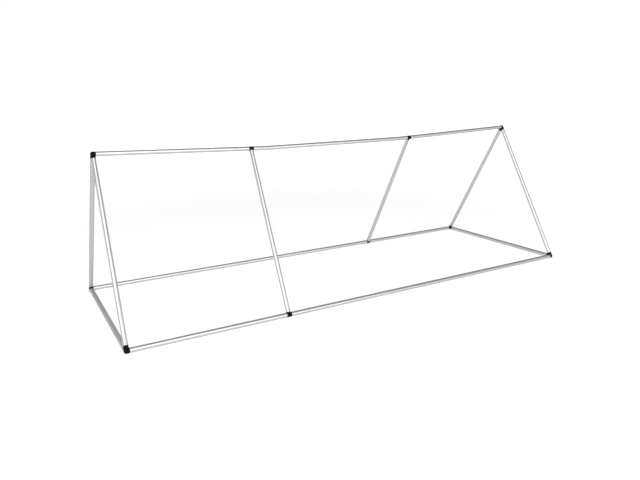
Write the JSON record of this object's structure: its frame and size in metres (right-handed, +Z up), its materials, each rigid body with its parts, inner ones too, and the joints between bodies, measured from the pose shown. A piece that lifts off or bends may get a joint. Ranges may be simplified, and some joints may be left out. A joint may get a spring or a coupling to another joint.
{
  "type": "a-frame banner display",
  "caption": "Long free-standing A-frame of round aluminium tubes pushed on black moulded connectors, to carry a banner on its sloping sides.",
  "frame": {"origin": "on the floor, under the middle of the frame", "axes": "+X along the ridge, -Y towards the front of the picture, +Z up"},
  "size_m": [3.0758, 1.0452, 0.9343],
  "materials": {
    "tube_aluminium": "satin drawn tube, clear anodised",
    "connector_plastic": "black injection-moulded nylon, slightly glossy",
    "sleeve_aluminium": "mill finish",
    "button_steel": "zinc plated, smooth dome",
    "spring_steel": "spring strip",
    "rivet_aluminium": "blind rivet, dull"
  },
  "bodies": {
    "rails": {"ridge_tube_left": "tube_aluminium", "ridge_stub_left": "tube_aluminium", "ridge_tube_middle": "tube_aluminium", "ridge_stub_right": "tube_aluminium", "ridge_tube_right": "tube_aluminium", "front_tube_left": "tube_aluminium", "front_stub_left": "tube_aluminium", "front_tube_middle": "tube_aluminium", "front_tube_right": "tube_aluminium", "back_tube_left": "tube_aluminium", "back_tube_middle": "tube_aluminium", "back_stub_right": "tube_aluminium", "back_tube_right": "tube_aluminium", "ridge_tee_left": "connector_plastic", "ridge_tee_right": "connector_plastic", "front_tee_left": "connector_plastic", "back_tee_right": "connector_plastic", "front_leg_middle": "tube_aluminium", "back_leg_middle": "tube_aluminium", "ridge_sleeve_left": "sleeve_aluminium", "ridge_sleeve_right": "sleeve_aluminium", "front_sleeve_left": "sleeve_aluminium", "front_sleeve_right": "sleeve_aluminium", "back_sleeve_left": "sleeve_aluminium", "back_sleeve_right": "sleeve_aluminium", "ridge_spring_left": "spring_steel", "ridge_spring_right": "spring_steel", "front_spring_left": "spring_steel", "front_spring_right": "spring_steel", "back_spring_left": "spring_steel", "back_spring_right": "spring_steel", "sleeve_rivets": "rivet_aluminium"},
    "left_end": {"ridge_corner_left": "connector_plastic", "front_corner_left": "connector_plastic", "back_corner_left": "connector_plastic", "front_leg_left": "tube_aluminium", "back_leg_left": "tube_aluminium", "base_bar_left": "tube_aluminium"},
    "right_end": {"ridge_corner_right": "connector_plastic", "front_corner_right": "connector_plastic", "back_corner_right": "connector_plastic", "front_leg_right": "tube_aluminium", "back_leg_right": "tube_aluminium", "base_bar_right": "tube_aluminium"},
    "ridge_button_left": {"ridge_button_left": "button_steel"},
    "ridge_button_right": {"ridge_button_right": "button_steel"},
    "front_button_left": {"front_button_left": "button_steel"},
    "front_button_right": {"front_button_right": "button_steel"},
    "back_button_left": {"back_button_left": "button_steel"},
    "back_button_right": {"back_button_right": "button_steel"}
  },
  "joints": [
    {"name": "left_end_pull", "type": "slide", "parent": "rails", "child": "left_end", "axis": [-1, 0, 0], "range_m": [0, 0.05]},
    {"name": "right_end_pull", "type": "slide", "parent": "rails", "child": "right_end", "axis": [1, 0, 0], "range_m": [0, 0.05]},
    {"name": "ridge_button_left_press", "type": "slide", "parent": "rails", "child": "ridge_button_left", "axis": [0, -1, 0], "range_m": [0, 0.0042], "stiffness_N_per_m": 900, "deforming": ["ridge_spring_left"]},
    {"name": "ridge_button_right_press", "type": "slide", "parent": "rails", "child": "ridge_button_right", "axis": [0, -1, 0], "range_m": [0, 0.0042], "stiffness_N_per_m": 900, "deforming": ["ridge_spring_right"]},
    {"name": "front_button_left_press", "type": "slide", "parent": "rails", "child": "front_button_left", "axis": [0, -1, 0], "range_m": [0, 0.0042], "stiffness_N_per_m": 900, "deforming": ["front_spring_left"]},
    {"name": "front_button_right_press", "type": "slide", "parent": "rails", "child": "front_button_right", "axis": [0, -1, 0], "range_m": [0, 0.0042], "stiffness_N_per_m": 900, "deforming": ["front_spring_right"]},
    {"name": "back_button_left_press", "type": "slide", "parent": "rails", "child": "back_button_left", "axis": [0, -1, 0], "range_m": [0, 0.0042], "stiffness_N_per_m": 900, "deforming": ["back_spring_left"]},
    {"name": "back_button_right_press", "type": "slide", "parent": "rails", "child": "back_button_right", "axis": [0, -1, 0], "range_m": [0, 0.0042], "stiffness_N_per_m": 900, "deforming": ["back_spring_right"]}
  ]
}
